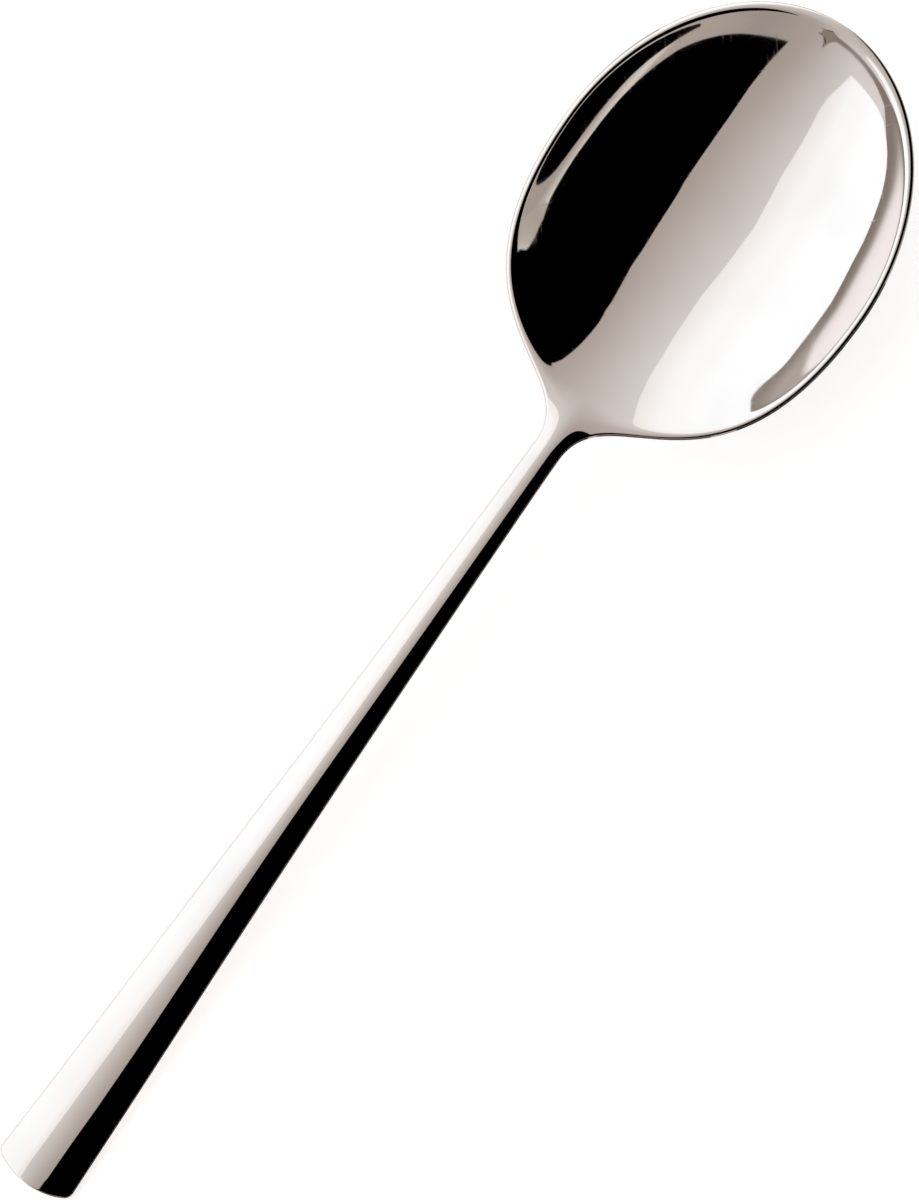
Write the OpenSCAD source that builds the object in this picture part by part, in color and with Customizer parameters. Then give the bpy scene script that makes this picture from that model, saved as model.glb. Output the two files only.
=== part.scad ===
// Serving spoon with a broad dished bowl, a slim neck and a crowned, tapering handle.
// It lies as on a table: the bowl points along +Y, its hollow faces up, and Z is zero under it.
// The real spoon is one forging, so the three solids meet face to face in the same steel.

/* [Overall] */
// Length from the end of the handle to the tip of the bowl
overall_len = 250; // [230:1:280]

/* [Bowl] */
// Width of the bowl over its rim
bowl_w = 64; // [54:0.5:76]
// Length from the widest place of the bowl to its tip
bowl_front = 41; // [34:0.1:50]
// Length from the widest place of the bowl back to the neck
bowl_back = 50.3; // [46:0.1:60]
// Depth of the hollow below the crest of the rim
bowl_depth = 13.2; // [8:0.1:16]
// Thickness of the bowl's wall
shell_t = 1.8; // [1.2:0.1:2.6]
// Distance from the outer edge of the rim in to its crest, where the wall has rolled over
rim_crest = 0.8; // [0.6:0.05:2]
// Width of the rounded outer edge of the rim, seen from above
rim_edge = 0.8; // [0.5:0.05:1.6]
// How sharply the wall rolls over at the rim, as a power of the distance from the middle
wall_power = 90; // [30:5:120]
// How much shallower the hollow is behind than its outline alone would make it, as a share
back_ease_share = 0.36; // [0:0.01:0.45]
// Distance in front of the neck over which that stays the same
back_from = 9.2; // [6:0.1:14]
// Length over which the hollow then gains its full depth
back_len = 27; // [18:1:34]
// How far the outline runs on behind the widest place before it draws in
shoulder_pull = 43.4; // [34:0.1:48]
// How far the outline runs along the neck before it spreads into the bowl
fillet_pull = 15.8; // [8:0.1:24]

/* [Neck] */
// Width of the neck at its narrowest
neck_w = 5.6; // [5:0.1:9]
// Height of the neck's flanks
neck_side_t = 3.2; // [2.4:0.1:4.2]
// Height of the neck's underside above the table at its highest
neck_rise = 11.7; // [9:0.1:20]
// How far the rounded keel stands out below the neck
neck_keel = 0.9; // [0.2:0.05:1.6]
// Width of the rounding along the neck's flanks
neck_edge = 0.5; // [0.3:0.05:1.4]
// Length of the straight neck, up to where the bowl's outline begins
neck_len = 22; // [12:1:32]
// Length over which the neck thins out into the bowl's wall
thin_len = 32; // [24:1:44]

/* [Handle] */
// Width of the handle at its end
handle_end_w = 15.3; // [12:0.1:20]
// Height of the handle's flanks at its end
handle_side_t = 1.5; // [1:0.05:2.4]
// Width of the rounding along the handle's edges
handle_edge = 0.3; // [0.2:0.05:0.9]
// How far the arc across the end bulges out between its corners
end_bulge = 2.1; // [1.5:0.1:5]
// Radius of the two corners of the end
corner_r = 2; // [0.6:0.05:3]
// Depth of the flat ground under the end, on which the handle rests
rest_grind = 0.18; // [0.08:0.01:0.3]
// How steeply the two sides of the crown fall away from its ridge, as a share of the way across
crown_slope_share = 0.6; // [0.3:0.02:0.7]
// How broadly the ridge of the crown is rounded at the end of the handle
ridge_end = 5.8; // [4:0.1:8]
// How broadly the ridge is rounded along the middle of the handle
ridge_mid = 2.35; // [1.6:0.05:4]
// How broadly the ridge is rounded on the neck
ridge_neck = 2.05; // [1.5:0.05:3]
// Distance from the end of the handle at which the ridge begins to sharpen
ridge_from = 12; // [4:1:24]
// Length over which the ridge sharpens
ridge_len = 80; // [50:1:100]
// How hollow the sides are drawn in between end and neck, as a power
taper_power = 1.25; // [1:0.05:1.6]

/* [Fineness] */
// Steps across each half of a section, up to where its edge rounds off
half_steps = 12; // [8:1:16]
// Steps round the quarter of an edge
edge_steps = 4; // [3:1:5]
// Sections along the handle between its end and the neck
handle_steps = 14; // [8:1:20]
// Sections along the straight neck
neck_steps = 5; // [3:1:8]
// Sections between the neck and the widest place of the bowl
shoulder_steps = 24; // [16:1:28]
// Sections between the widest place of the bowl and its tip
front_steps = 22; // [14:1:26]

/* [Hidden] */

bowl_half = bowl_w / 2;
neck_half = neck_w / 2;
end_half = handle_end_w / 2;

// Places along the spoon, measured from the end of the handle
widest_at = overall_len - bowl_front;
spread_at = widest_at - bowl_back;
neck_at = spread_at - neck_len;
crest_share = 0.25;
crest_at = spread_at - neck_len * crest_share;

// The outline's shoulder is one curve from the neck to the widest place. The bowl's solid begins
// at this share of it, where the crown fades out and the hollow begins.
bowl_start_share = 0.25;
bowl_start_steps = round(shoulder_steps * bowl_start_share);

// The arc across the end, its radius found from its bulge, and the corner where it meets the side
end_r = (end_half * end_half + end_bulge * end_bulge) / (2 * end_bulge);
corner_across = end_half - corner_r;
corner_angle = asin(corner_across / (end_r - corner_r));
corner_at = end_r - (end_r - corner_r) * cos(corner_angle);
end_steps = 5;
corner_steps = 4;
// The first and last sections are this narrow, in degrees short of a closed end
closing_angle = 2;

// The crown fades out from just behind the shoulder, in shares of the length of that curve
crown_fade_shares = [-0.03, 0.26];
crown_from = spread_at + bowl_back * crown_fade_shares[0];
crown_to = spread_at + bowl_back * crown_fade_shares[1];

// Share of the wall's thickness that the rounding takes at the top, and again at the bottom
edge_share = 0.46;
crest_r_share = 1 - rim_crest / bowl_half;

steel = [0.80, 0.78, 0.76];

function ease(t) = t <= 0 ? 0 : t >= 1 ? 1 : t * t * (3 - 2 * t);
function mix(a, b, t) = a + (b - a) * t;
function from_to(s, start, stop) = ease((s - start) / (stop - start));

// A size that runs from its value at the handle's end to that at the neck and that in the bowl
function along(s, at_end, at_neck, in_bowl, reach) =
    s < crest_at ? mix(at_end, at_neck, from_to(s, 0, crest_at))
                 : mix(at_neck, in_bowl, from_to(s, crest_at, crest_at + reach));

function under_z(s) = along(s, -rest_grind, neck_rise, bowl_depth, widest_at - crest_at);
function side_t(s) = along(s, handle_side_t, neck_side_t, shell_t, thin_len);
function edge_w(s) = along(s, handle_edge, neck_edge, rim_edge, thin_len);
function keel(s) = along(s, 0, neck_keel, 0, thin_len);
function bowl_depth_at(s) =
    let (start = spread_at + back_from)
    bowl_depth * mix(1 - back_ease_share, 1, from_to(s, start, start + back_len));
function ridge(s) =
    s < ridge_from + ridge_len ? mix(ridge_end, ridge_mid, from_to(s, ridge_from, ridge_from + ridge_len))
                               : mix(ridge_mid, ridge_neck, from_to(s, ridge_from + ridge_len, crest_at));

// The crown is a roof with a rounded ridge, and its height is nothing along the edges
function crown(s, half, x) =
    crown_slope_share * (norm([half, ridge(s)]) - norm([x, ridge(s)]))
    * (1 - from_to(s, crown_from, crown_to));

// A station is [place along, half width, half width times its slope, half width of the crown]
function end_station(angle) =
    [end_r * (1 - cos(angle)), end_r * sin(angle), end_r * cos(angle), end_half];
function corner_station(angle) =
    let (half = corner_across + corner_r * sin(angle))
    [corner_at - corner_r * cos(angle), half, half * cos(angle) / sin(angle), end_half];
function side_station(s) =
    let (left = (spread_at - s) / (spread_at - corner_at),
         half = neck_half + (end_half - neck_half) * pow(left, taper_power),
         slope = left <= 0 ? 0 : -taper_power * (end_half - neck_half) * pow(left, taper_power - 1)
                 / (spread_at - corner_at))
    [s, half, half * slope, half];
function shoulder_station(t) =
    let (rise = ease(t),
         half = mix(neck_half, bowl_half, rise),
         s = spread_at + 3 * (1 - t) * (1 - t) * t * fillet_pull
             + 3 * (1 - t) * t * t * (bowl_back - shoulder_pull) + t * t * t * bowl_back,
         ds = 3 * (1 - t) * (1 - t) * fillet_pull
              + 6 * (1 - t) * t * (bowl_back - shoulder_pull - fillet_pull) + 3 * t * t * shoulder_pull,
         dw = 6 * t * (1 - t) * (bowl_half - neck_half))
    [s, half, half * dw / ds, half];
function front_station(angle) =
    [widest_at + bowl_front * sin(angle), bowl_half * cos(angle),
     -bowl_half * bowl_half / bowl_front * sin(angle), bowl_half * cos(angle)];

// Inside the outline, the level is 1 along the edge and 0 at the bottom of the bowl
function level(st, x) = sqrt(max(0, 1 - (st[1] * st[1] - x * x) / (bowl_half * bowl_half)));
function tilt(st, x) = norm([x, st[2]]);

// The wall rises as a parabola and rolls over as the level nears the crest
function wall(q) = ((wall_power + 2) * q * q - 2 * pow(q, wall_power + 2)) / wall_power;
function wall_slope(q) = 2 * (wall_power + 2) / wall_power * (q - pow(q, wall_power + 1));

function top_z(st, x) =
    let (q = min(1, level(st, x) / crest_r_share))
    under_z(st[0]) + side_t(st[0]) - bowl_depth_at(st[0]) * (1 - wall(q));
function wall_t(st, x) =
    let (r = level(st, x),
         q = min(1, r / crest_r_share),
         depth = bowl_depth_at(st[0]) / crest_r_share,
         slope = r == 0 ? 0 : depth * wall_slope(q) * tilt(st, x) / (bowl_half * bowl_half * r))
    side_t(st[0]) * norm([1, slope]);
function bulge(st, x) = 1 - x * x / (st[3] * st[3]);

// How far the rounding takes a surface in, from all at the edge to nothing at the edge width
function edge_drop(st, x) =
    let (in_share = (st[1] * st[1] - x * x) / (2 * tilt(st, x)) / edge_w(st[0]))
    in_share >= 1 ? 0
    : edge_share * side_t(st[0]) * (1 - sqrt(max(0, 1 - (1 - in_share) * (1 - in_share))));

// Places across a section, closer together towards its edges
function across(half, edge) =
    let (round_w = min(edge, half / 2), flat_half = half - round_w)
    [for (k = [-half_steps - edge_steps : half_steps + edge_steps])
        let (n = abs(k), side = sign(k))
        n <= half_steps ? side * flat_half * sin(90 * n / half_steps)
                        : side * (flat_half + round_w * sin(90 * (n - half_steps) / edge_steps))];

function section(st) =
    let (places = across(st[1], edge_w(st[0])), y = st[0] - overall_len / 2)
    concat(
        [for (x = places)
            [x, y, top_z(st, x) + crown(st[0], st[3], x) - edge_drop(st, x)]],
        [for (x = places)
            [x, y, top_z(st, x) - wall_t(st, x) - keel(st[0]) * bulge(st, x) + edge_drop(st, x)]]);

// Skins a row of sections. Each has its top points and then its bottom points, from left to right.
module loft(stations) {
    row = 2 * (half_steps + edge_steps) + 1;
    ring = 2 * row;
    last = len(stations) - 1;
    sections = [for (st = stations) section(st)];
    points = [for (one = sections) for (p = one) p];
    tops = [for (i = [0 : last - 1]) for (j = [0 : row - 2])
        let (a = i * ring + j, b = a + ring)
        each [[a, b, b + 1], [a, b + 1, a + 1]]];
    bottoms = [for (i = [0 : last - 1]) for (j = [0 : row - 2])
        let (a = i * ring + row + j, b = a + ring)
        each [[a, b + 1, b], [a, a + 1, b + 1]]];
    sides = [for (i = [0 : last - 1])
        let (a = i * ring, b = a + ring)
        each [[a, a + row, b + row], [a, b + row, b],
              [a + row - 1, b + row - 1, b + ring - 1], [a + row - 1, b + ring - 1, a + ring - 1]]];
    caps = [for (j = [0 : row - 2])
        let (a = j, b = last * ring + j)
        each [[a, a + 1, a + row + 1], [a, a + row + 1, a + row],
              [b, b + row + 1, b + 1], [b, b + row, b + row + 1]]];
    polyhedron(points, concat(tops, bottoms, sides, caps));
}

module bowl() {
    color(steel)
    loft(concat(
        [for (i = [bowl_start_steps : shoulder_steps]) shoulder_station(i / shoulder_steps)],
        [for (i = [1 : front_steps]) front_station((90 - closing_angle) * i / front_steps)]));
}

module neck() {
    color(steel)
    loft(concat(
        [for (i = [0 : neck_steps - 1]) side_station(neck_at + neck_len * i / neck_steps)],
        [for (i = [0 : bowl_start_steps]) shoulder_station(i / shoulder_steps)]));
}

// The underside reaches the table along the last stretch and is ground flat there
module handle() {
    below = handle_side_t;
    color(steel)
    difference() {
        loft(concat(
            [for (i = [0 : end_steps])
                end_station(mix(closing_angle, corner_angle, i / end_steps))],
            [for (i = [1 : corner_steps])
                corner_station(mix(corner_angle, 90, i / corner_steps))],
            [for (i = [1 : handle_steps])
                side_station(mix(corner_at, neck_at, i / handle_steps))]));
        translate([-handle_end_w, -overall_len, -below])
            cube([2 * handle_end_w, overall_len, below]);
    }
}

bowl();
neck();
handle();
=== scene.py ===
# %% [markdown]
# # A serving spoon in mirror-polished steel
# The object is one forging: a dished bowl, a slim neck and a crowned handle. A mirror has no colour of
# its own, so this lesson spends its effort on two things: surfaces whose slope is exact at every point,
# and a studio that is worth reflecting. Everything is in metres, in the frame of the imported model.

# %% Load the frame
import math

import bmesh
import bpy
import numpy as np
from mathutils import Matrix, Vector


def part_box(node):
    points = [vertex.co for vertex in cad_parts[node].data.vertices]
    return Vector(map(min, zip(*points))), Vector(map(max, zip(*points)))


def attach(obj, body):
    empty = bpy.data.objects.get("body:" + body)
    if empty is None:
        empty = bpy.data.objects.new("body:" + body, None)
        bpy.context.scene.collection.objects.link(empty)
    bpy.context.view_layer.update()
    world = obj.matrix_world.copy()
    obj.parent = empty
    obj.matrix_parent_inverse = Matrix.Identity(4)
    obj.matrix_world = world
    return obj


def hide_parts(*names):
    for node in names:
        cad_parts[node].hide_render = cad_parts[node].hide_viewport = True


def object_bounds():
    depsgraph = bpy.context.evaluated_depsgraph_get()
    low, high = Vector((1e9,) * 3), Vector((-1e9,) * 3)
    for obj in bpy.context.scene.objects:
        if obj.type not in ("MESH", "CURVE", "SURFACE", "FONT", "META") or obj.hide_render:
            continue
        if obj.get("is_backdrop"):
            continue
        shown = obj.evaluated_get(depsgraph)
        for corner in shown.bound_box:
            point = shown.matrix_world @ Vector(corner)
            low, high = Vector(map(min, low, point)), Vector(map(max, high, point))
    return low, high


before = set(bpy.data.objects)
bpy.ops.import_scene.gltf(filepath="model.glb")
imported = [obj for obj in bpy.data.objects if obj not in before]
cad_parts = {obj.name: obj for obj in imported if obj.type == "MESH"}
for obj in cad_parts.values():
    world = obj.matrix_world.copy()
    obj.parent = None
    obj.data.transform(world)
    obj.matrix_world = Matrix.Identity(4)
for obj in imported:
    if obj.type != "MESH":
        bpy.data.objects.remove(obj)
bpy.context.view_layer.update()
MM = 0.001

# %% [markdown]
# ## The shape, as functions
# A loft through cross-sections could be drawn by hand, but a mirror shows every uneven step of a
# hand-made cage. So the outline, the side view and the section are each a short formula, and the mesh
# only samples them. First the sizes: the frame gives the widths and where the pieces part, and the rest
# is named here.

# %% Widths and parting planes from the frame
bowl_low, bowl_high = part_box("bowl")
neck_low, neck_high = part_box("neck")
handle_low, handle_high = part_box("handle")
boxes = (
    ("bowl", bowl_low, bowl_high),
    ("neck", neck_low, neck_high),
    ("handle", handle_low, handle_high),
)
for name, low, high in boxes:
    print(name, round((high.y - low.y) / MM, 1), "mm long")

# %% Sizes along and across the spoon
OVERALL = 250 * MM
START = -OVERALL / 2
BOWL_HALF = bowl_high.x
BOWL_FRONT = 41 * MM
BOWL_BACK = 50.3 * MM
SHOULDER_PULL = 43.4 * MM
FILLET_PULL = 15.8 * MM
NECK_START = neck_low.y
NECK_HALF = 2.86 * MM
NECK_BACK = 5.5 * MM
END_EXTRA = 0.1 * MM
END_HALF = handle_high.x + END_EXTRA
END_BULGE = 2.1 * MM
CORNER_R = 2 * MM
TAPER_POWER = 1.25

WIDEST = START + OVERALL - BOWL_FRONT
SPREAD = WIDEST - BOWL_BACK
CREST = SPREAD - NECK_BACK
for name, y in (("widest", WIDEST), ("outline spreads", SPREAD), ("top of the neck", CREST)):
    print(name, "at", round(y / MM, 1))

# %% [markdown]
# The photograph looks straight down, so no height can be measured in it. But a mirror shows slopes, and
# the slopes here were tried until each band fell about where the photograph has it. What no reflection
# tells, such as the thickness of the steel, is what such spoons have.

# %% Heights and thicknesses
BOWL_DEPTH = 13.25 * MM
BACK_EASE_SHARE = 0.36
BACK_GAP = 9.2 * MM
BACK_LEN = 27 * MM
BACK_FROM = SPREAD + BACK_GAP
SHELL_T = 1.8 * MM
RIM_CREST = 0.8 * MM
CREST_LEVEL = 1 - RIM_CREST / BOWL_HALF
WALL_POWER = 110
NECK_SIDE_T = 3.2 * MM
NECK_RISE = 11.7 * MM
NECK_KEEL = 0.9 * MM
THIN_LEN = 32 * MM
HANDLE_SIDE_T = 1.5 * MM
REST_GRIND = 0.18 * MM
print("rim stands", round((BOWL_DEPTH + SHELL_T) / MM, 2), "mm high, turns over at", round(CREST_LEVEL, 3))

# %% [markdown]
# The edges of a polished forging are never sharp. A bevel could round them, but what an edge mirrors
# depends on its slope, so the slope is what is set here. Each edge has a width, and a slope that it
# reaches at its outermost line. The rim's is nearly 1, at which a mirror seen from above shows the
# horizon.

# %% Edges
HANDLE_EDGE = 0.4 * MM
HANDLE_EDGE_SLOPE = 0.75
NECK_EDGE = 0.5 * MM
RIM_EDGE = 0.85 * MM
RIM_EDGE_SLOPE = 0.97
print("steepest edge", round(math.degrees(math.atan(RIM_EDGE_SLOPE)), 1), "degrees")

# %% [markdown]
# The crown of the handle is a rounded roof: a hyperbola, which is round at the ridge and nearly flat
# towards the edges. That is why the real handle shows one narrow pale band down the middle between a
# light and a dark side. Two flat planes would show a hard line there, and a plain arc would spread the
# band over the whole width. The roof fades out where the neck opens into the bowl, so its flanks turn
# into the shoulders with no line between.

# %% The roof's slope, its ridge and where it fades
ROOF_SLOPE = 0.60
RIDGE_END = 5.8 * MM
RIDGE_MIDDLE = 2.35 * MM
RIDGE_NECK = 2.05 * MM
RIDGE_GAP = 12 * MM
RIDGE_LEN = 80 * MM
RIDGE_FROM = START + RIDGE_GAP
RIDGE_TO = RIDGE_FROM + RIDGE_LEN
FADE_START_SHARE = -0.03
FADE_STOP_SHARE = 0.26
FADE_FROM = SPREAD + FADE_START_SHARE * BOWL_BACK
FADE_TO = SPREAD + FADE_STOP_SHARE * BOWL_BACK
print("roof fades from", round(FADE_FROM / MM, 1), "to", round(FADE_TO / MM, 1))

# %% [markdown]
# The sizes change along the spoon, and each eases from one value to the next. Straight ramps would be
# simpler, but their slope jumps at both ends, and a mirror shows such a jump as a line across the
# spoon.


# %% Curves that the sizes run along
def ease(t):
    t = np.clip(t, 0, 1)
    return t * t * (3 - 2 * t)


def along(y, at_end, at_neck, in_bowl, reach):
    """A size that eases from the end to the top of the neck, and from there into the bowl."""
    rising = at_end + (at_neck - at_end) * ease((y - START) / (CREST - START))
    falling = at_neck + (in_bowl - at_neck) * ease((y - CREST) / reach)
    return np.where(y < CREST, rising, falling)


def depth_at(y):
    return BOWL_DEPTH * (1 - BACK_EASE_SHARE * (1 - ease((y - BACK_FROM) / BACK_LEN)))


def fade_at(y):
    return 1 - ease((y - FADE_FROM) / (FADE_TO - FADE_FROM))


def edge_at(y):
    return along(y, HANDLE_EDGE, NECK_EDGE, NECK_EDGE, THIN_LEN) * fade_at(y) + RIM_EDGE * (1 - fade_at(y))


def ridge_at(y):
    first = RIDGE_END + (RIDGE_MIDDLE - RIDGE_END) * ease((y - RIDGE_FROM) / RIDGE_LEN)
    return first + (RIDGE_NECK - RIDGE_MIDDLE) * ease((y - RIDGE_TO) / (CREST - RIDGE_TO))


print("bowl under its widest place", round(float(depth_at(WIDEST)) / MM, 2), "mm deep")

# %% [markdown]
# A spoon is drawn out, ground and buffed by hand, and its handle ends up a hair off the line through
# its bowl. A quarter of a millimetre can't be seen as a bend, but the light band along the crown shows
# it. A modifier could bend the finished piece, but one more function keeps place and normal together.

# %% The sway of the handle
SWAY = -0.25 * MM
SWAY_GAP = 18 * MM
SWAY_LEN = 52 * MM
SWAY_BACK_LEN = 24 * MM
SWAY_FROM = START + SWAY_GAP


def sway(y):
    """How far the middle of the handle and the neck lie off the axis."""
    return SWAY * ease((y - SWAY_FROM) / SWAY_LEN) * (1 - ease((y - CREST) / SWAY_BACK_LEN))


print("the neck lies", round(float(sway(CREST)) / MM, 2), "mm off the axis")

# %% [markdown]
# ## Stations
# Each station along the spoon is four numbers: where it is, the half width of the outline, that half
# width times its slope, which says which way the edge faces, and the half width that the crown is
# measured on. Each stretch of the outline is a function of its own, which runs from 0 to 1: the arc of
# the end, its round corner, the tapering side, the shoulder and the front of the bowl.

# %% The end of the handle and its corner
END_R = (END_HALF**2 + END_BULGE**2) / (2 * END_BULGE)
CORNER_X = END_HALF - CORNER_R
CORNER_ANGLE = math.asin(CORNER_X / (END_R - CORNER_R))
CORNER_Y = START + END_R - (END_R - CORNER_R) * math.cos(CORNER_ANGLE)
CLOSING = math.radians(0.5)


def end_stations(t):
    turn = CLOSING + (CORNER_ANGLE - CLOSING) * t
    return START + END_R * (1 - np.cos(turn)), END_R * np.sin(turn), END_R * np.cos(turn), END_HALF + 0 * turn


def corner_stations(t):
    turn = CORNER_ANGLE + (math.pi / 2 - CORNER_ANGLE) * t
    half = CORNER_X + CORNER_R * np.sin(turn)
    return CORNER_Y - CORNER_R * np.cos(turn), half, half * np.cos(turn) / np.sin(turn), END_HALF + 0 * turn


print("the end is an arc of", round(END_R / MM, 1), "mm radius")

# %% [markdown]
# The side tapers from the end of the handle to the neck. A straight taper would meet the shoulder in a
# corner, so this one is a power curve, which runs out flat there.


# %% The side of the handle and the neck
def side_stations(t, start, stop):
    y = start + (stop - start) * t
    left = np.clip((SPREAD - y) / (SPREAD - CORNER_Y), 1e-9, 1)
    spread = END_HALF - NECK_HALF
    half = NECK_HALF + spread * left**TAPER_POWER
    slope = -TAPER_POWER * spread * left ** (TAPER_POWER - 1) / (SPREAD - CORNER_Y)
    return y, half, half * slope, half


part_half = float(side_stations(0, NECK_START, SPREAD)[1])
print("half width where handle and neck part", round(part_half / MM, 2), "mm")

# %% [markdown]
# The shoulders sweep out of the neck along a Bezier curve, with one handle for the fillet at the neck
# and one for the fullness of the oval. The front of the bowl is half an ellipse, which takes over at
# the widest place.


# %% The shoulder and the front of the bowl
def shoulder_stations(t):
    rest = 1 - t
    half = NECK_HALF + (BOWL_HALF - NECK_HALF) * ease(t)
    knee = BOWL_BACK - SHOULDER_PULL
    y = SPREAD + 3 * rest * rest * t * FILLET_PULL + 3 * rest * t * t * knee + t**3 * BOWL_BACK
    dy = 3 * rest * rest * FILLET_PULL + 6 * rest * t * (knee - FILLET_PULL) + 3 * t * t * SHOULDER_PULL
    dw = 6 * t * rest * (BOWL_HALF - NECK_HALF)
    return y, half, half * dw / dy, half


def front_stations(t):
    turn = (math.pi / 2 - CLOSING) * t
    half = BOWL_HALF * np.cos(turn)
    return WIDEST + BOWL_FRONT * np.sin(turn), half, -(BOWL_HALF**2) / BOWL_FRONT * np.sin(turn), half


middle = [round(float(v) / MM, 1) for v in shoulder_stations(0.5)[:2]]
print("middle of the shoulder", middle[0], "along and", middle[1], "out")

# %% [markdown]
# ## Heights
# The bowl's depth depends on one number, the level: 0 at its bottom and 1 along its outline. The wall
# climbs as a parabola and turns over into the flared rim as the level nears the crest. A high power
# makes that turn sudden, as it is where a press has rolled the rim.


# %% The level and the wall
def level_at(half, x):
    return np.sqrt(np.clip(1 - (half**2 - x**2) / BOWL_HALF**2, 0, None))


def wall(share):
    return ((WALL_POWER + 2) * share**2 - 2 * share ** (WALL_POWER + 2)) / WALL_POWER


def wall_slope(share):
    return 2 * (WALL_POWER + 2) / WALL_POWER * (share - share ** (WALL_POWER + 1))


steepest_share = (1 / (WALL_POWER + 1)) ** (1 / WALL_POWER)
print("the wall is steepest at level", round(steepest_share * CREST_LEVEL, 3))

# %% [markdown]
# Everything meets in one function. The top is the dish, with the roof laid on it along the handle and
# rounded off near the outline. The underside follows it at the thickness of the sheet, measured square
# to the slope, and is ground flat where the spoon stands on the table.


# %% Heights over the table
def surface(y, half, facing, crown_half, x, side):
    """Height of the top, where side is 1, or of the underside, where it is -1."""
    level = level_at(half, x)
    share = np.minimum(1, level / CREST_LEVEL)
    tilt = np.hypot(x, facing)
    side_t = along(y, HANDLE_SIDE_T, NECK_SIDE_T, SHELL_T, THIN_LEN)
    under = along(y, -REST_GRIND, NECK_RISE, BOWL_DEPTH, WIDEST - CREST)
    dish = under + side_t - depth_at(y) * (1 - wall(share))
    slope = depth_at(y) / CREST_LEVEL * wall_slope(share) * tilt / (BOWL_HALF**2 * np.maximum(level, 1e-9))
    ridge = ridge_at(y)
    fade = fade_at(y)
    crown = ROOF_SLOPE * (np.hypot(crown_half, ridge) - np.hypot(x, ridge)) * fade
    keel = along(y, 0, NECK_KEEL, 0, THIN_LEN) * (1 - (x / crown_half) ** 2)
    edge = edge_at(y)
    inset = (half**2 - x**2) / (2 * np.maximum(tilt, 1e-9)) / edge
    steepest = HANDLE_EDGE_SLOPE * fade + RIM_EDGE_SLOPE * (1 - fade)
    drop = steepest * edge / 2 * np.clip(1 - inset, 0, 1) ** 2
    top = dish + crown - drop
    bottom = np.maximum(dish - side_t * np.hypot(1, slope) - keel + drop, 0)
    return np.where(side > 0, top, bottom)


bottom_of_bowl = [float(surface(WIDEST, BOWL_HALF, 0.0, BOWL_HALF, 0.0, side)) / MM for side in (1, -1)]
print("top and underside at the bottom of the bowl", [round(v, 2) for v in bottom_of_bowl], "mm")

# %% [markdown]
# ## From a grid to a skin
# A plain grid is made twice, the copy is turned over, and the two rims are bridged into one closed
# body. A sphere could be pulled into the same shape, but its poles would pinch the mirror. A grid only
# narrows at its two ends, and those lie on the outline.

# %% Make a closed body
STEPS_ACROSS = 148


def closed_grid(name, steps_along):
    bm = bmesh.new()
    bmesh.ops.create_grid(bm, x_segments=STEPS_ACROSS, y_segments=steps_along, size=1)
    top = bm.faces[:]
    copy = bmesh.ops.duplicate(bm, geom=bm.verts[:] + bm.edges[:] + bm.faces[:])
    low_faces = [f for f in copy["geom"] if isinstance(f, bmesh.types.BMFace)]
    low_verts = [v for v in copy["geom"] if isinstance(v, bmesh.types.BMVert)]
    bmesh.ops.translate(bm, verts=low_verts, vec=(0, 0, -1))
    bmesh.ops.reverse_faces(bm, faces=low_faces)
    rims = [e for e in bm.edges if len(e.link_faces) == 1]
    bmesh.ops.bridge_loops(bm, edges=rims)
    mesh = bpy.data.meshes.new(name)
    bm.to_mesh(mesh)
    bm.free()
    print(name, len(top), "faces a side,", len(mesh.polygons), "in all")
    return mesh


# %% [markdown]
# The points are spread unevenly across. Most of them serve the wide middle, and the last fifth crowds
# into the narrow rounded edge, where the slope changes fastest. Even steps would need several times as
# many points for the same edge.

# %% Spread the points across
FLAT_SHARE = 0.80


def across(u, half, edge):
    round_w = np.minimum(edge, half / 2)
    flat = half - round_w
    out = np.abs(u)
    inner = flat * np.sin(np.clip(out / FLAT_SHARE, 0, 1) * math.pi / 2)
    outer = round_w * np.sin(np.clip((out - FLAT_SHARE) / (1 - FLAT_SHARE), 0, 1) * math.pi / 2)
    return np.sign(u) * (inner + outer)


def place(u, v, side, stations):
    y, half, facing, crown_half = stations(v)
    x = across(u, half, edge_at(y))
    return np.stack([x + sway(y), y, surface(y, half, facing, crown_half, x, side)], axis=-1)


print("points across the edge", round((1 - FLAT_SHARE) / 2 * STEPS_ACROSS), "a side")

# %% [markdown]
# Every vertex slides to the place that the functions give it. Blender could average the normals from
# the faces, but the average breaks where two pieces meet. So the normals come from the same functions,
# as the cross product of two short steps, and the reflections run from piece to piece with no seam, as
# they do on one forging.

# %% Shape a body and set its normals
STEP = 1e-5


def shaped(name, stations, steps_along):
    mesh = closed_grid(name, steps_along)
    co = np.empty(len(mesh.vertices) * 3)
    mesh.vertices.foreach_get("co", co)
    co = co.reshape(-1, 3)
    u = co[:, 0]
    v = (co[:, 1] + 1) / 2
    side = np.where(co[:, 2] > -0.5, 1, -1)
    points = place(u, v, side, stations)
    right = place(np.minimum(u + STEP, 1), v, side, stations)
    left = place(np.maximum(u - STEP, -1), v, side, stations)
    ahead = place(u, np.minimum(v + STEP, 1), side, stations)
    behind = place(u, np.maximum(v - STEP, 0), side, stations)
    normals = np.cross(right - left, ahead - behind) * side[:, None]
    normals /= np.maximum(np.linalg.norm(normals, axis=1), 1e-30)[:, None]
    mesh.vertices.foreach_set("co", points.ravel())
    mesh.update()
    mesh.shade_smooth()
    mesh.normals_split_custom_set_from_vertices(normals.tolist())
    piece = bpy.data.objects.new(name, mesh)
    bpy.context.scene.collection.objects.link(piece)
    print(name, "is", round(float(np.ptp(points[:, 2])) / MM, 2), "mm high")
    return piece


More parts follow.
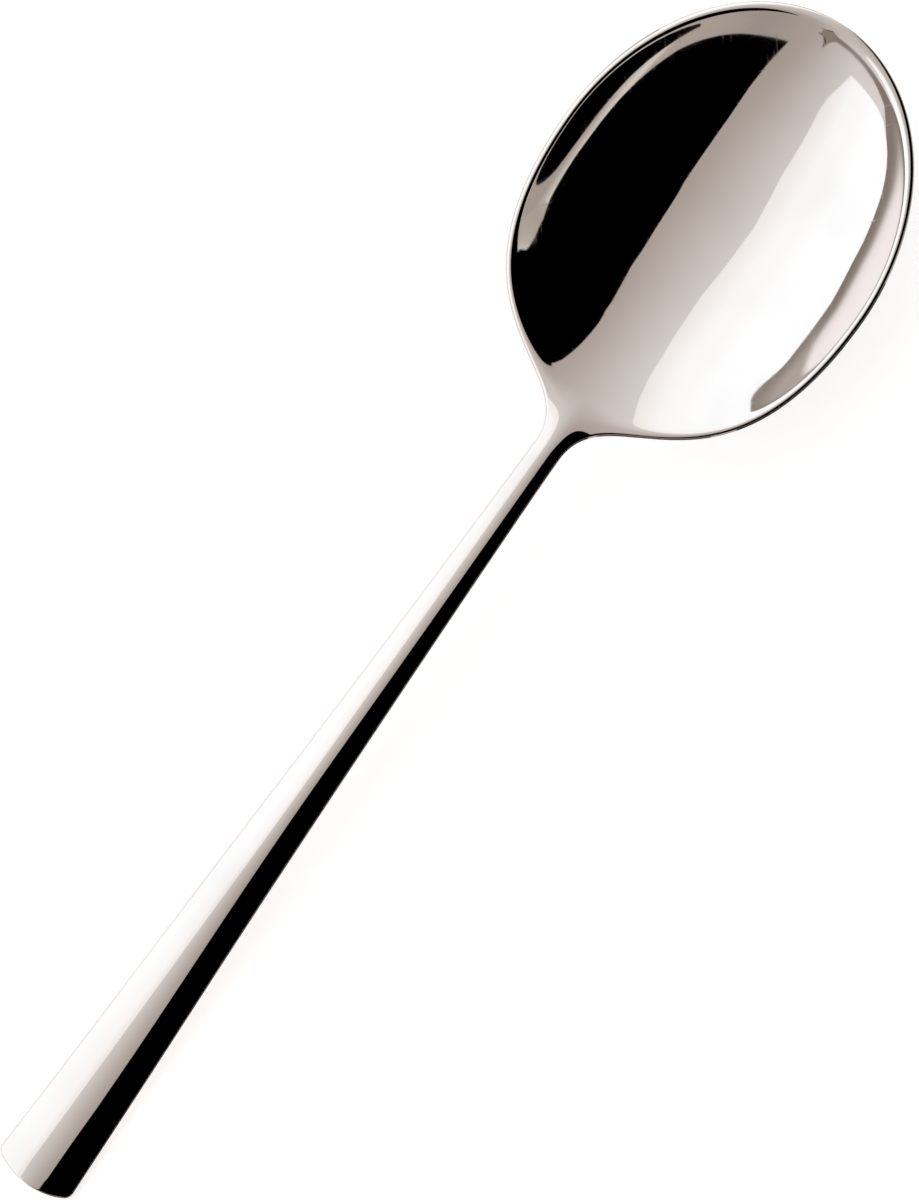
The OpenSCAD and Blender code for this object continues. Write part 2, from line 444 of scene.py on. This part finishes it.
# %% [markdown]
# ## The three pieces
# Each piece is a run of stretches that follow each other, and each stretch gets its share of the steps.
# The forging is parted a little way up the shoulder and again at the foot of the neck, in planes square
# to its length.

# %% Join stretches into a run
BOWL_START_SHARE = 0.25


def joined(*stretches):
    """One run of stations out of several stretches, each with its share of the way."""
    def stations(t):
        total = sum(share for share, _ in stretches)
        out = None
        done = 0.0
        for share, stretch in stretches:
            low, high = done / total, (done + share) / total
            part = stretch(np.clip((t - low) / (high - low), 0, 1))
            out = part if out is None else [np.where(t > low, new, old) for new, old in zip(part, out)]
            done += share
        return out
    return stations


bowl_start = float(shoulder_stations(BOWL_START_SHARE)[0])
print("parted at", round(NECK_START / MM, 1), "and", round(bowl_start / MM, 1))

# %% [markdown]
# The bowl is the part that was pressed: a shell of even thickness whose rim turns over. It could be a
# coarse cage under a subdivision modifier, but such a cage doesn't say where its slopes will be. Its
# run has two stretches, the shoulders and the front, and it gets the most steps, because it mirrors the
# most.

# %% Bowl
BOWL_STEPS = 280
SHOULDER_SHARE = 0.52
bowl_run = joined(
    (SHOULDER_SHARE, lambda t: shoulder_stations(BOWL_START_SHARE + (1 - BOWL_START_SHARE) * t)),
    (1 - SHOULDER_SHARE, front_stations),
)
bowl = shaped("polished_bowl", bowl_run, BOWL_STEPS)

# %% [markdown]
# The neck is the slimmest and the thickest place of the forging, because a full bowl bends it there. A
# swept bar could stand for it, but on the real spoon the roof of the handle melts into the hollow here.
# So it is the same surface again, along the last of the taper and the first of the shoulders.

# %% Neck
NECK_STEPS = 110
STEM_SHARE = 0.5
neck_run = joined(
    (STEM_SHARE, lambda t: side_stations(t, NECK_START, SPREAD)),
    (1 - STEM_SHARE, lambda t: shoulder_stations(BOWL_START_SHARE * t)),
)
neck = shaped("polished_neck", neck_run, NECK_STEPS)

# %% [markdown]
# The handle is a thin bar whose crown is sharp near the neck and soft near the end. A bevelled box
# would have one and the same crown all along. Its run starts on the arc of the end, turns round the
# corner and follows the side.

# %% Handle
HANDLE_STEPS = 250
END_SHARE = 0.12
CORNER_SHARE = 0.08
handle_run = joined(
    (END_SHARE, end_stations),
    (CORNER_SHARE, corner_stations),
    (1 - END_SHARE - CORNER_SHARE, lambda t: side_stations(t, CORNER_Y, NECK_START)),
)
handle = shaped("polished_handle", handle_run, HANDLE_STEPS)

# %% [markdown]
# ## Steel
# Polished steel is a mirror with a history. Three small groups hold that history: the long waves that
# hand polishing leaves, hairlines from washing up, and smudges where fingers have been. They are all
# laid out on the object's own coordinates, so nothing swims when the camera moves.

# %% Helpers for node trees
STEEL_COLOUR = (0.80, 0.78, 0.76)


def add(tree, kind, **settings):
    node = tree.nodes.new(kind)
    for name, value in settings.items():
        setattr(node, name, value)
    return node


def new_group(name, inputs, outputs):
    """A node group with named sockets; gives back the tree and its two end nodes."""
    tree = bpy.data.node_groups.new(name, "ShaderNodeTree")
    for label, kind in inputs:
        tree.interface.new_socket(label, in_out="INPUT", socket_type=kind)
    for label, kind in outputs:
        tree.interface.new_socket(label, in_out="OUTPUT", socket_type=kind)
    return tree, add(tree, "NodeGroupInput"), add(tree, "NodeGroupOutput")


print("steel reflects", STEEL_COLOUR, "of red, green and blue")

# %% [markdown]
# A hairline is far longer than it is wide. A picture of scratches could be laid on the steel, but it
# would repeat and need a file. Noise that is squeezed across and stretched along looks just like that,
# and a high threshold keeps only its sparse peaks.

# %% Hairlines
HAIRLINE_STRETCH = (5200, 90, 300)
HAIRLINE_FROM = 0.66
HAIRLINE_TO = 0.78


def hairline_group():
    """Sparse fine lines along one direction: 1 on a line and 0 between."""
    tree, start, end = new_group(
        "hairlines",
        [("Vector", "NodeSocketVector"), ("Angle", "NodeSocketFloat")],
        [("Mask", "NodeSocketFloat")],
    )
    turn = add(tree, "ShaderNodeVectorRotate", rotation_type="Z_AXIS")
    stretch = add(tree, "ShaderNodeVectorMath", operation="MULTIPLY")
    stretch.inputs[1].default_value = HAIRLINE_STRETCH
    noise = add(tree, "ShaderNodeTexNoise", noise_dimensions="3D")
    noise.inputs["Scale"].default_value = 1
    noise.inputs["Detail"].default_value = 1
    sparse = add(tree, "ShaderNodeMapRange")
    sparse.inputs["From Min"].default_value = HAIRLINE_FROM
    sparse.inputs["From Max"].default_value = HAIRLINE_TO
    tree.links.new(start.outputs["Vector"], turn.inputs["Vector"])
    tree.links.new(start.outputs["Angle"], turn.inputs["Angle"])
    tree.links.new(turn.outputs[0], stretch.inputs[0])
    tree.links.new(stretch.outputs[0], noise.inputs["Vector"])
    tree.links.new(noise.outputs[0], sparse.inputs["Value"])
    tree.links.new(sparse.outputs[0], end.inputs["Mask"])
    return tree


HAIRLINES = hairline_group()
print(HAIRLINES.name, len(HAIRLINES.nodes), "nodes")

# %% [markdown]
# Fingers leave a thin film in patches about as large as a fingertip. The patches could be painted, but
# smooth noise with a soft threshold has the same size and the same uneven edge, on every side of the
# spoon at once.

# %% Smudges
SMUDGE_SCALE = 55
SMUDGE_FROM = 0.45
SMUDGE_TO = 0.75


def smudge_group():
    """Soft patches, 0 where the steel is clean and 1 where it has been handled."""
    tree, start, end = new_group("smudges", [("Vector", "NodeSocketVector")], [("Mask", "NodeSocketFloat")])
    noise = add(tree, "ShaderNodeTexNoise", noise_dimensions="3D")
    noise.inputs["Scale"].default_value = SMUDGE_SCALE
    noise.inputs["Detail"].default_value = 4
    soft = add(tree, "ShaderNodeMapRange", interpolation_type="SMOOTHSTEP")
    soft.inputs["From Min"].default_value = SMUDGE_FROM
    soft.inputs["From Max"].default_value = SMUDGE_TO
    tree.links.new(start.outputs["Vector"], noise.inputs["Vector"])
    tree.links.new(noise.outputs[0], soft.inputs["Value"])
    tree.links.new(soft.outputs[0], end.inputs["Mask"])
    return tree


SMUDGES = smudge_group()
print(SMUDGES.name, "are about", round(1000 / SMUDGE_SCALE), "mm apart")

# %% [markdown]
# A surface that was buffed by hand is never quite true. Its waves are a guess here: one to four
# hundredths of a millimetre high and two or three centimetres long. They could be shaped in the mesh
# too, but a bump in the normal is easier to try and to undo.


# %% Polishing waves
def polish_group():
    """The long shallow waves of hand polishing, as a normal."""
    tree, start, end = new_group(
        "polish_waves",
        [("Vector", "NodeSocketVector"), ("Length", "NodeSocketFloat"), ("Height", "NodeSocketFloat")],
        [("Normal", "NodeSocketVector")],
    )
    tight = add(tree, "ShaderNodeMath", operation="DIVIDE")
    tight.inputs[0].default_value = 1
    noise = add(tree, "ShaderNodeTexNoise", noise_dimensions="3D")
    noise.inputs["Detail"].default_value = 0
    bump = add(tree, "ShaderNodeBump")
    tree.links.new(start.outputs["Length"], tight.inputs[1])
    tree.links.new(start.outputs["Vector"], noise.inputs["Vector"])
    tree.links.new(tight.outputs[0], noise.inputs["Scale"])
    tree.links.new(noise.outputs[0], bump.inputs["Height"])
    tree.links.new(start.outputs["Height"], bump.inputs["Distance"])
    tree.links.new(bump.outputs[0], end.inputs["Normal"])
    return tree


POLISH = polish_group()
print(POLISH.name, len(POLISH.nodes), "nodes")

# %% [markdown]
# Each piece gets the same recipe with its own numbers. The bowl's hairlines run two ways, as a cloth
# goes round in it, and those of the neck and the handle run along. A line or a smudge makes the steel
# rougher and never paler, because a scratch in a mirror is seen only by the light that it scatters.

# %% Steel material
CLEAN_ROUGHNESS = 0.025
SMUDGE_ROUGHNESS = 0.03
LINE_ROUGHNESS = 0.07
SMUDGE_SHADE = 0.95


def group_node(tree, group, where, **settings):
    node = add(tree, "ShaderNodeGroup")
    node.node_tree = group
    for name, value in settings.items():
        node.inputs[name].default_value = value
    tree.links.new(where, node.inputs["Vector"])
    return node


def highest(tree, masks):
    """The highest of several masks at each point."""
    result = masks[0]
    for mask in masks[1:]:
        both = add(tree, "ShaderNodeMath", operation="MAXIMUM")
        tree.links.new(result, both.inputs[0])
        tree.links.new(mask, both.inputs[1])
        result = both.outputs[0]
    return result


def steel_roughness(tree, smudge, lines):
    grease = add(tree, "ShaderNodeMath", operation="MULTIPLY_ADD")
    grease.inputs[1].default_value = SMUDGE_ROUGHNESS
    grease.inputs[2].default_value = CLEAN_ROUGHNESS
    tree.links.new(smudge, grease.inputs[0])
    rough = add(tree, "ShaderNodeMath", operation="MULTIPLY_ADD")
    rough.inputs[1].default_value = LINE_ROUGHNESS
    tree.links.new(lines, rough.inputs[0])
    tree.links.new(grease.outputs[0], rough.inputs[2])
    return rough.outputs[0]


def steel(name, line_angles, wave_length, wave_height):
    mat = bpy.data.materials.new(name)
    mat.use_nodes = True
    tree = mat.node_tree
    shader = tree.nodes["Principled BSDF"]
    shader.inputs["Metallic"].default_value = 1
    where = add(tree, "ShaderNodeTexCoord").outputs["Object"]

    polish = group_node(tree, POLISH, where, Length=wave_length, Height=wave_height)
    lines = []
    for angle in line_angles:
        one = group_node(tree, HAIRLINES, where, Angle=math.radians(angle))
        lines.append(one.outputs["Mask"])
    smudge = group_node(tree, SMUDGES, where).outputs["Mask"]

    tone = add(tree, "ShaderNodeMix", data_type="RGBA")
    tone.inputs["A"].default_value = (*STEEL_COLOUR, 1)
    tone.inputs["B"].default_value = (*(c * SMUDGE_SHADE for c in STEEL_COLOUR), 1)
    tree.links.new(smudge, tone.inputs["Factor"])
    tree.links.new(tone.outputs["Result"], shader.inputs["Base Color"])
    tree.links.new(steel_roughness(tree, smudge, highest(tree, lines)), shader.inputs["Roughness"])
    tree.links.new(polish.outputs["Normal"], shader.inputs["Normal"])
    print(name, len(tree.nodes), "nodes")
    return mat


print("roughness from", CLEAN_ROUGHNESS, "to", round(CLEAN_ROUGHNESS + SMUDGE_ROUGHNESS + LINE_ROUGHNESS, 3))

# %% [markdown]
# One material could serve the whole forging, but the wide hollow waves more than the slim bars, and its
# scratches run another way. So each piece has its own. Then each hangs from the root body, and the
# solid of the packed model that it stands for is hidden.

# %% Dress the pieces
bowl_steel = steel("bowl_steel", line_angles=(35, -40), wave_length=30 * MM, wave_height=0.04 * MM)
neck_steel = steel("neck_steel", line_angles=(2,), wave_length=20 * MM, wave_height=0.01 * MM)
handle_steel = steel("handle_steel", line_angles=(0, 3), wave_length=24 * MM, wave_height=0.01 * MM)
bowl.data.materials.append(bowl_steel)
neck.data.materials.append(neck_steel)
handle.data.materials.append(handle_steel)

for piece, node in ((bowl, "bowl"), (neck, "neck"), (handle, "handle")):
    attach(piece, "root")
    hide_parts(node)
    print(piece.name, "stands for", node)

# %% [markdown]
# ## Camera
# The photograph looks straight down on the spoon, from far enough that it hardly foreshortens, with the
# spoon turned to point at the upper right corner. So one pixel is one named length, and everything else
# about the camera follows. A closer camera with a shorter lens would also frame the spoon, but it would
# shift every reflection.

# %% Camera
PHOTO_HIGH_PIXELS = 1200
PIXEL = 0.1758 * MM
FRAME_HIGH = PHOTO_HIGH_PIXELS * PIXEL
SENSOR = 36
AXIS_TURN = math.radians(35.42)
CAMERA_HEIGHT = 2.4
RIM_HEIGHT = BOWL_DEPTH + SHELL_T
LOOK_AT = (2.5 * MM, 3.42 * MM)

camera_data = bpy.data.cameras.new("camera")
camera_data.sensor_width = SENSOR
camera_data.lens = SENSOR * (CAMERA_HEIGHT - RIM_HEIGHT) / FRAME_HIGH
camera_data.clip_start = 0.01
camera_data.clip_end = 20
camera = bpy.data.objects.new("camera", camera_data)
camera.location = (*LOOK_AT, CAMERA_HEIGHT)
camera.rotation_euler = (0, 0, AXIS_TURN)
bpy.context.scene.collection.objects.link(camera)
bpy.context.scene.camera = camera
print("lens", round(camera_data.lens), "mm from", CAMERA_HEIGHT, "m")

# %% [markdown]
# ## Studio
# All the contrast of polished steel is the contrast of the room. Overhead, a white card and a black
# card leave a gap along the spoon, through which the beige ceiling shows as the band down the middle of
# every surface. A hollow mirrors the far side: the left of the bowl shows what hangs on the right, and
# its right what hangs on the left.
#
# Lamps could light the steel, but a mirror shows a lamp as a spot. So everything here is a surface that
# glows, and its tone is named as it is seen in the steel, where none is brighter than white. The steel
# takes a part of each colour, so the tones are divided by the steel's own.

# %% Tones as they are seen in the steel
scene = bpy.context.scene
scene.view_settings.view_transform = "Standard"


def linear(*levels):
    """The linear colour of a tone given in display levels of 0 to 255."""
    shares = [v / 255 for v in levels]
    return tuple(s / 12.92 if s <= 0.04045 else ((s + 0.055) / 1.055) ** 2.4 for s in shares)


def mirrored(*levels):
    """The colour that a thing must have to be seen in the steel in these levels."""
    return tuple(c / s for c, s in zip(linear(*levels), STEEL_COLOUR))


def fill_ramp(ramp, tones):
    """Give a colour ramp its stops: each is a place from 0 to 1 and the display levels seen there."""
    stops = ramp.color_ramp.elements
    for count, (place_at, levels) in enumerate(tones):
        stop = stops[count] if count < 2 else stops.new(place_at)
        stop.position = place_at
        stop.color = (*mirrored(*levels), 1)


print("white seen in the steel is", [round(c, 2) for c in mirrored(255, 255, 255)])

# %% [markdown]
# The room is one ramp by the angle from straight up, from the left wall at -90 degrees to the right
# wall at 90. An image of a room could be used instead, but a ramp of a dozen stops is enough for steel
# that shows only bands.

# %% The room, by the angle from straight up
ROOM = (
    (-90, (228, 220, 217)),
    (-73, (207, 200, 194)),
    (-68.5, (140, 127, 120)),
    (-64, (165, 153, 146)),
    (-50, (218, 208, 205)),
    (-22, (210, 202, 197)),
    (22, (168, 156, 148)),
    (50, (156, 145, 138)),
    (69.5, (170, 158, 148)),
    (70.5, (214, 205, 194)),
    (73.5, (160, 148, 139)),
    (90, (185, 175, 168)),
)


def light_by_angle(tree):
    direction = add(tree, "ShaderNodeTexCoord")
    parts = add(tree, "ShaderNodeSeparateXYZ")
    angle = add(tree, "ShaderNodeMath", operation="ARCTAN2")
    share = add(tree, "ShaderNodeMapRange")
    share.inputs["From Min"].default_value = -math.pi / 2
    share.inputs["From Max"].default_value = math.pi / 2
    ramp = add(tree, "ShaderNodeValToRGB")
    fill_ramp(ramp, [((degrees + 90) / 180, levels) for degrees, levels in ROOM])
    tree.links.new(direction.outputs["Generated"], parts.inputs[0])
    tree.links.new(parts.outputs["X"], angle.inputs[0])
    tree.links.new(parts.outputs["Z"], angle.inputs[1])
    tree.links.new(angle.outputs[0], share.inputs["Value"])
    tree.links.new(share.outputs[0], ramp.inputs[0])
    return ramp.outputs[0]


world = bpy.data.worlds.new("studio")
scene.world = world
world.use_nodes = True
world_tree = world.node_tree
world_tree.links.new(light_by_angle(world_tree), world_tree.nodes["Background"].inputs["Color"])
print(len(ROOM), "stops from wall to wall")

# %% [markdown]
# A card is a sheet of one tone, or of a tone that changes along it, as real cards have under a window.
# Painted sheets under a lamp could do that, but each change to one lamp would change them all. A glow
# is set alone.


# %% Glowing surfaces
def glow(name, colour):
    """A material that only glows, in one colour."""
    mat = bpy.data.materials.new(name)
    mat.use_nodes = True
    tree = mat.node_tree
    tree.nodes.clear()
    out = add(tree, "ShaderNodeOutputMaterial")
    emit = add(tree, "ShaderNodeEmission")
    emit.name = "glow"
    emit.inputs["Color"].default_value = (*colour, 1)
    emit.inputs["Strength"].default_value = 1
    tree.links.new(emit.outputs[0], out.inputs["Surface"])
    return mat


def ramp_along(tree, axis, start, stop, tones):
    """A colour ramp that runs along one of the object's own axes, from start to stop."""
    where = add(tree, "ShaderNodeTexCoord")
    parts = add(tree, "ShaderNodeSeparateXYZ")
    run = add(tree, "ShaderNodeMath", operation="MULTIPLY_ADD")
    run.inputs[1].default_value = 1 / (stop - start)
    run.inputs[2].default_value = -start / (stop - start)
    ramp = add(tree, "ShaderNodeValToRGB")
    fill_ramp(ramp, tones)
    tree.links.new(where.outputs["Object"], parts.inputs[0])
    tree.links.new(parts.outputs[axis], run.inputs[0])
    tree.links.new(run.outputs[0], ramp.inputs[0])
    return ramp.outputs["Color"]


def graded_glow(name, axis, start, stop, tones):
    mat = glow(name, (1, 1, 1))
    tree = mat.node_tree
    tree.links.new(ramp_along(tree, axis, start, stop, tones), tree.nodes["glow"].inputs["Color"])
    return mat


BLACK = glow("black_card", (0, 0, 0))
print("glows:", BLACK.name)

# %% [markdown]
# The camera must not see the cards, only the steel may. Each is marked as staging, which keeps it out
# of the model, and hidden from the camera alone. A card is cut out of one sheet by its outline, and a
# curtain is an upright sheet that follows a line on the floor and reaches as high as the cards.

# %% Cards and curtains
CARD_HEIGHT = 1.0
CARD_TURN = math.radians(3.7)
CARD_STEP = 1 * MM


def stage_piece(name, bm, material):
    mesh = bpy.data.meshes.new(name)
    bm.to_mesh(mesh)
    bm.free()
    mesh.materials.append(material)
    piece = bpy.data.objects.new(name, mesh)
    scene.collection.objects.link(piece)
    piece.visible_camera = False
    piece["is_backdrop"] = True
    print(name, len(mesh.polygons), "faces")
    return piece


def card(name, corners, material):
    bm = bmesh.new()
    bm.faces.new([bm.verts.new((x, y, 0)) for x, y in corners])
    bmesh.ops.triangulate(bm, faces=bm.faces[:])
    return stage_piece(name, bm, material)


def overhead_card(name, corners, material, layer):
    """A card at the height of all the others, turned with them, and a hair higher for each layer."""
    piece = card(name, corners, material)
    piece.location.z = CARD_HEIGHT + CARD_STEP * layer
    piece.rotation_euler.z = CARD_TURN
    return piece


def curtain(name, feet, material):
    bm = bmesh.new()
    verts = [bm.verts.new((x, y, 0)) for x, y in feet]
    edges = [bm.edges.new(pair) for pair in zip(verts, verts[1:])]
    raised = bmesh.ops.extrude_edge_only(bm, edges=edges)
    tops = [v for v in raised["geom"] if isinstance(v, bmesh.types.BMVert)]
    bmesh.ops.translate(bm, verts=tops, vec=(0, 0, CARD_HEIGHT))
    piece = stage_piece(name, bm, material)
    piece.rotation_euler.z = CARD_TURN
    return piece


print("cards hang", CARD_HEIGHT, "m up, turned by", round(math.degrees(CARD_TURN), 1), "degrees")

# %% [markdown]
# The white card hangs over the left. The steel shows its inner edge as the line where the pale band
# ends, and its outer edge as the side of the pale crescent near the right rim. Both edges were drawn
# until their mirror images ran as in the photograph, and their small steps stand in for the waves
# of that one spoon's polish. The card is brightest far out, and slightly warmer beside the gap.

# %% White card
CARD_FAR = 5
CARD_SIDE = 3.6
WHITE_FROM = -0.35
WHITE_TO = -1.35
WHITE_TONES = (
    (0.0, (238, 230, 226)),
    (0.25, (250, 246, 244)),
    (0.80, (255, 255, 255)),
)
white_outer = (
    (-1.15, -1.46), (-1.40, -1.43), (-1.62, -1.34), (-1.81, -1.25), (-1.97, -1.14), (-2.09, -1.03),
    (-2.19, -0.91), (-2.31, -0.66), (-2.41, -0.41), (-2.46, -0.15), (-2.56, 0.10), (-2.68, 0.36),
    (-2.69, 0.50), (-2.67, 0.68), (-2.67, 0.82), (-2.65, 0.92), (-2.60, 1.03), (-2.49, 1.15),
    (-2.34, 1.26), (-2.21, 1.345), (-2.14, 1.40),
)
white_lip = (
    (-2.17, 1.44), (-2.3, 1.44), (-2.6, 1.43), (-3.2, 1.40), (-CARD_SIDE, 1.3), (-CARD_SIDE, CARD_FAR),
)
white_inner = (
    (-0.33, CARD_FAR), (-0.33, 1.7), (-0.345, 1.5), (-0.335, 1.0), (-0.328, 0.35), (-0.36, 0.2),
    (-0.378, 0.05), (-0.36, -0.12), (-0.338, -0.3), (-0.345, -0.62), (-0.335, -0.9), (-0.355, -1.06),
    (-0.44, -1.28), (-0.50, -1.46),
)
white_glow = graded_glow("white_card", "X", WHITE_FROM, WHITE_TO, WHITE_TONES)
overhead_card("white_card", (*white_outer, *white_lip, *white_inner), white_glow, layer=0)

# %% [markdown]
# Polished steel looks black only where it mirrors something black. An unlit room would do, but a card
# has an edge, and its edge is what gives the bands theirs. The black card hangs over the right and is
# seen in the left of the bowl and along the right of the handle. Its lip is a card of its own, laid
# over it, because one sheet with so narrow a notch doesn't triangulate cleanly.

# %% Black card
black_outer = (
    (1.26, -1.45), (1.53, -1.42), (1.79, -1.37), (2.01, -1.30), (2.19, -1.22), (2.42, -1.00), (2.61, -0.76),
    (2.74, -0.51), (2.82, -0.24), (2.88, 0.01), (2.92, 0.14), (2.90, 0.30), (2.84, 0.51), (2.75, 0.67),
    (2.60, 0.83), (2.50, 0.95), (2.34, 1.055), (2.25, 1.11), (2.15, 1.165), (2.1, CARD_FAR),
)
black_inner = (
    (0.48, CARD_FAR), (0.478, 1.68), (0.468, 1.5), (0.472, 1.3), (0.462, 1.15), (0.458, 0.95), (0.435, 0.5),
    (0.415, 0.3), (0.43, 0.12), (0.448, 0.0), (0.452, -0.3), (0.46, -0.52), (0.488, -0.8), (0.497, -1.1),
    (0.475, -1.44),
)
black_lip = (
    (2.15, 1.165), (2.30, 1.16), (2.46, 1.15), (2.79, 1.11), (CARD_SIDE, 1.0),
    (CARD_SIDE, CARD_FAR), (2.1, CARD_FAR),
)
overhead_card("black_card", (*black_outer, *black_inner), BLACK, layer=1)
overhead_card("black_lip", black_lip, BLACK, layer=2)

# %% [markdown]
# At the tip of the bowl the wall mirrors what hangs beyond the handle. One small dim spike there shows
# twice, once in the wall and once where the wall turns over into the rim, and the two images meet in a
# little star. A darker sheet just below it shows along one of its sides.

# %% Spike for the star at the tip
SPIKE_TONE = (132, 121, 111)
SPIKE_EDGE_TONE = (70, 60, 54)
spike = (
    (0.035, -1.56), (0.055, -1.63), (0.08, -1.69), (0.115, -1.73), (0.18, -1.75), (0.18, -1.9), (-0.11, -1.9),
    (-0.11, -1.75), (-0.05, -1.725), (-0.015, -1.69), (0.015, -1.63),
)
spike_edge = (
    (0.035, -1.54), (0.07, -1.63), (0.10, -1.69), (0.135, -1.725), (0.21, -1.745), (0.21, -1.757),
    (0.10, -1.73), (0.06, -1.69), (0.04, -1.63),
)
overhead_card("spike_edge", spike_edge, glow("spike_edge", mirrored(*SPIKE_EDGE_TONE)), layer=3)
overhead_card("spike", spike, glow("spike", mirrored(*SPIKE_TONE)), layer=4)

# %% [markdown]
# Past the black card the right wall of the room shows as a pale crescent near the left rim. The room's
# ramp has one tone for each angle, but the crescent's lower end is darker for a while and then light at
# its point. So a card with a ramp of its own hangs where that end is mirrored.

# %% Pale corner
CORNER_FROM = 0.60
CORNER_TO = 1.225
CORNER_TONES = (
    (0.0, (182, 172, 162)),
    (0.16, (172, 161, 150)),
    (0.40, (167, 156, 144)),
    (0.60, (171, 160, 147)),
    (0.77, (175, 165, 153)),
    (0.84, (184, 174, 162)),
    (0.90, (204, 196, 186)),
)
pale_corner = ((1.9, CORNER_FROM), (3.35, CORNER_FROM), (3.35, 1.25), (1.9, 1.25))
corner_glow = graded_glow("pale_corner", "Y", CORNER_FROM, CORNER_TO, CORNER_TONES)
overhead_card("pale_corner", pale_corner, corner_glow, layer=5)

# %% [markdown]
# A pale curtain hangs from the outer edge of the white card and is seen in the crescent near the right
# rim and in the line at the tip. A flat card further out could give the crescent its tone, but the
# curtain starts right at the white card's edge, so no gap opens between them. It is dark at its top, as
# if the card shaded it, and pale lower down. Towards its far end it stays dim.

# %% Pale curtain
LIT_TONES = (
    (0.0, (252, 248, 247)),
    (0.50, (246, 237, 235)),
    (0.70, (242, 231, 228)),
    (0.775, (232, 222, 219)),
    (0.81, (215, 205, 200)),
    (0.845, (180, 170, 163)),
    (0.88, (146, 136, 128)),
    (0.93, (131, 119, 110)),
    (1.0, (126, 113, 104)),
)
DIM_TONES = (
    (0.0, (178, 168, 158)),
    (0.80, (172, 161, 152)),
    (0.92, (146, 135, 126)),
    (1.0, (128, 116, 106)),
)
DIM_SLANT = 1.2
DIM_FROM = 1.46
DIM_TO = 1.64


def pale_curtain_glow():
    mat = glow("pale_curtain", (1, 1, 1))
    tree = mat.node_tree
    where = add(tree, "ShaderNodeTexCoord")
    parts = add(tree, "ShaderNodeSeparateXYZ")
    slant = add(tree, "ShaderNodeMath", operation="MULTIPLY_ADD")
    slant.inputs[1].default_value = DIM_SLANT
    far = add(tree, "ShaderNodeMapRange", interpolation_type="SMOOTHSTEP")
    far.inputs["From Min"].default_value = DIM_FROM
    far.inputs["From Max"].default_value = DIM_TO
    both = add(tree, "ShaderNodeMix", data_type="RGBA")
    tree.links.new(where.outputs["Object"], parts.inputs[0])
    tree.links.new(parts.outputs["Z"], slant.inputs[0])
    tree.links.new(parts.outputs["Y"], slant.inputs[2])
    tree.links.new(slant.outputs[0], far.inputs["Value"])
    tree.links.new(far.outputs[0], both.inputs["Factor"])
    tree.links.new(ramp_along(tree, "Z", 0, CARD_HEIGHT, LIT_TONES), both.inputs["A"])
    tree.links.new(ramp_along(tree, "Z", 0, CARD_HEIGHT, DIM_TONES), both.inputs["B"])
    tree.links.new(both.outputs["Result"], tree.nodes["glow"].inputs["Color"])
    return mat


tip_feet = ((-0.06, -1.735), (-0.35, -1.725), (-0.63, -1.70), (-0.95, -1.655), (-1.28, -1.58))
curtain("pale_curtain", (*tip_feet, *white_outer[2:]), pale_curtain_glow())

# %% [markdown]
# A black flag stands further out on the right, and is seen as the dark crescent at the left rim. Beyond
# the handle a dim screen makes the dark line along the right shoulder. Both are upright, because the
# steep edges of the steel look out sideways and not up.

# %% Black flag and back screen
BACK_TONE = (84, 77, 72)
flag_feet = (
    (2.20, -1.66), (2.32, -1.61), (2.46, -1.525), (2.57, -1.44), (2.68, -1.34), (2.91, -1.12), (3.09, -0.86),
    (3.19, -0.58), (3.27, -0.27), (3.34, 0.0), (3.41, 0.14), (3.51, 0.32), (3.73, 0.45), (3.92, 0.53),
    (4.2, 0.63),
)
back_feet = ((0.75, -1.86), (1.2, -1.85), (1.8, -1.82))
curtain("black_flag", flag_feet, BLACK)
curtain("back_screen", back_feet, glow("back_screen", mirrored(*BACK_TONE)))

# %% [markdown]
# ## Floor
# The floor is a plain white surface that takes the spoon's shadow. It could be made white by a stronger
# room, but that would lift every tone in the steel too. So a share of its white is a glow that only the
# camera and the mirror see, which lifts it to paper white.

# %% Floor
FLOOR_GLOW = 0.62
FLOOR_COLOUR = (0.80, 0.80, 0.80)
FLOOR_HALF = 8


def floor_material():
    mat = bpy.data.materials.new("floor")
    mat.use_nodes = True
    tree = mat.node_tree
    tree.nodes.clear()
    out = add(tree, "ShaderNodeOutputMaterial")
    diffuse = add(tree, "ShaderNodeBsdfDiffuse")
    diffuse.inputs["Color"].default_value = (*FLOOR_COLOUR, 1)
    emit = add(tree, "ShaderNodeEmission")
    both = add(tree, "ShaderNodeAddShader")
    rays = add(tree, "ShaderNodeLightPath")
    level = add(tree, "ShaderNodeMath", operation="MULTIPLY")
    level.inputs[1].default_value = FLOOR_GLOW
    kinds = ("Is Camera Ray", "Is Glossy Ray", "Is Transmission Ray")
    seen = highest(tree, [rays.outputs[kind] for kind in kinds])
    tree.links.new(seen, level.inputs[0])
    tree.links.new(level.outputs[0], emit.inputs["Strength"])
    tree.links.new(diffuse.outputs[0], both.inputs[0])
    tree.links.new(emit.outputs[0], both.inputs[1])
    tree.links.new(both.outputs[0], out.inputs["Surface"])
    return mat


floor_corners = [(x * FLOOR_HALF, y * FLOOR_HALF) for x, y in ((-1, -1), (1, -1), (1, 1), (-1, 1))]
floor = card("floor", floor_corners, floor_material())
floor.visible_camera = True

# %% [markdown]
# ## Size and end
# The box of the visual model is printed, in millimetres.

# %% Size and end
low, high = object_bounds()
print("visual box in mm", [round(v / MM, 2) for v in (*low, *high)])
